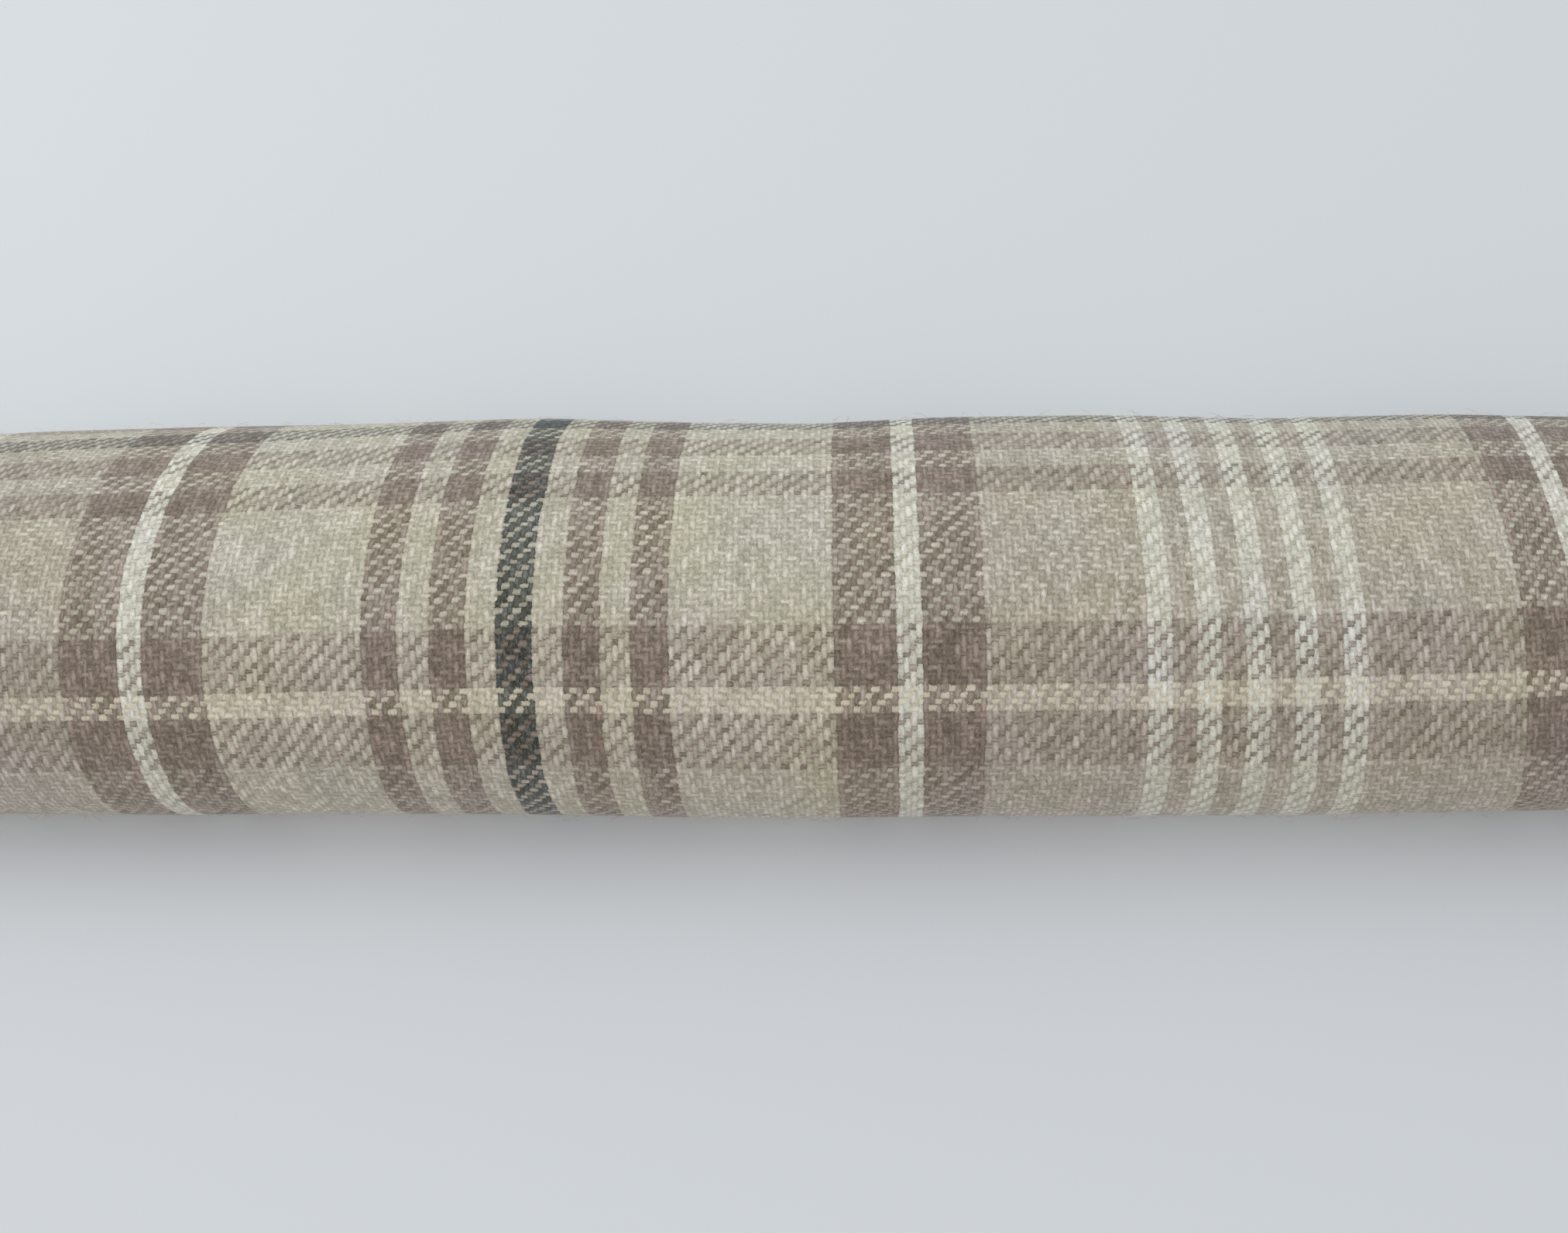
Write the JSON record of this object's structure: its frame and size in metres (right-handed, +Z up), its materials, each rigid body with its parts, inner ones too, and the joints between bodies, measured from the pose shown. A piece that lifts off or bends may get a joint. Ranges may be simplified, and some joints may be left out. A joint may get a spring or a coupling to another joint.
{
  "type": "draught excluder",
  "caption": "Long soft filled fabric tube, sewn flat across each end, that lies along the foot of a door to keep draughts out.",
  "frame": {"origin": "on the surface it lies on, below the middle of the tube", "axes": "+X along the tube, +Y towards its back, +Z up"},
  "size_m": [0.91, 0.122, 0.0627],
  "materials": {
    "tartan_cloth": "soft brushed twill in natural, beige, taupe, cream and charcoal tartan"
  },
  "bodies": {
    "root": {"cloth_tube": "tartan_cloth"}
  },
  "joints": []
}
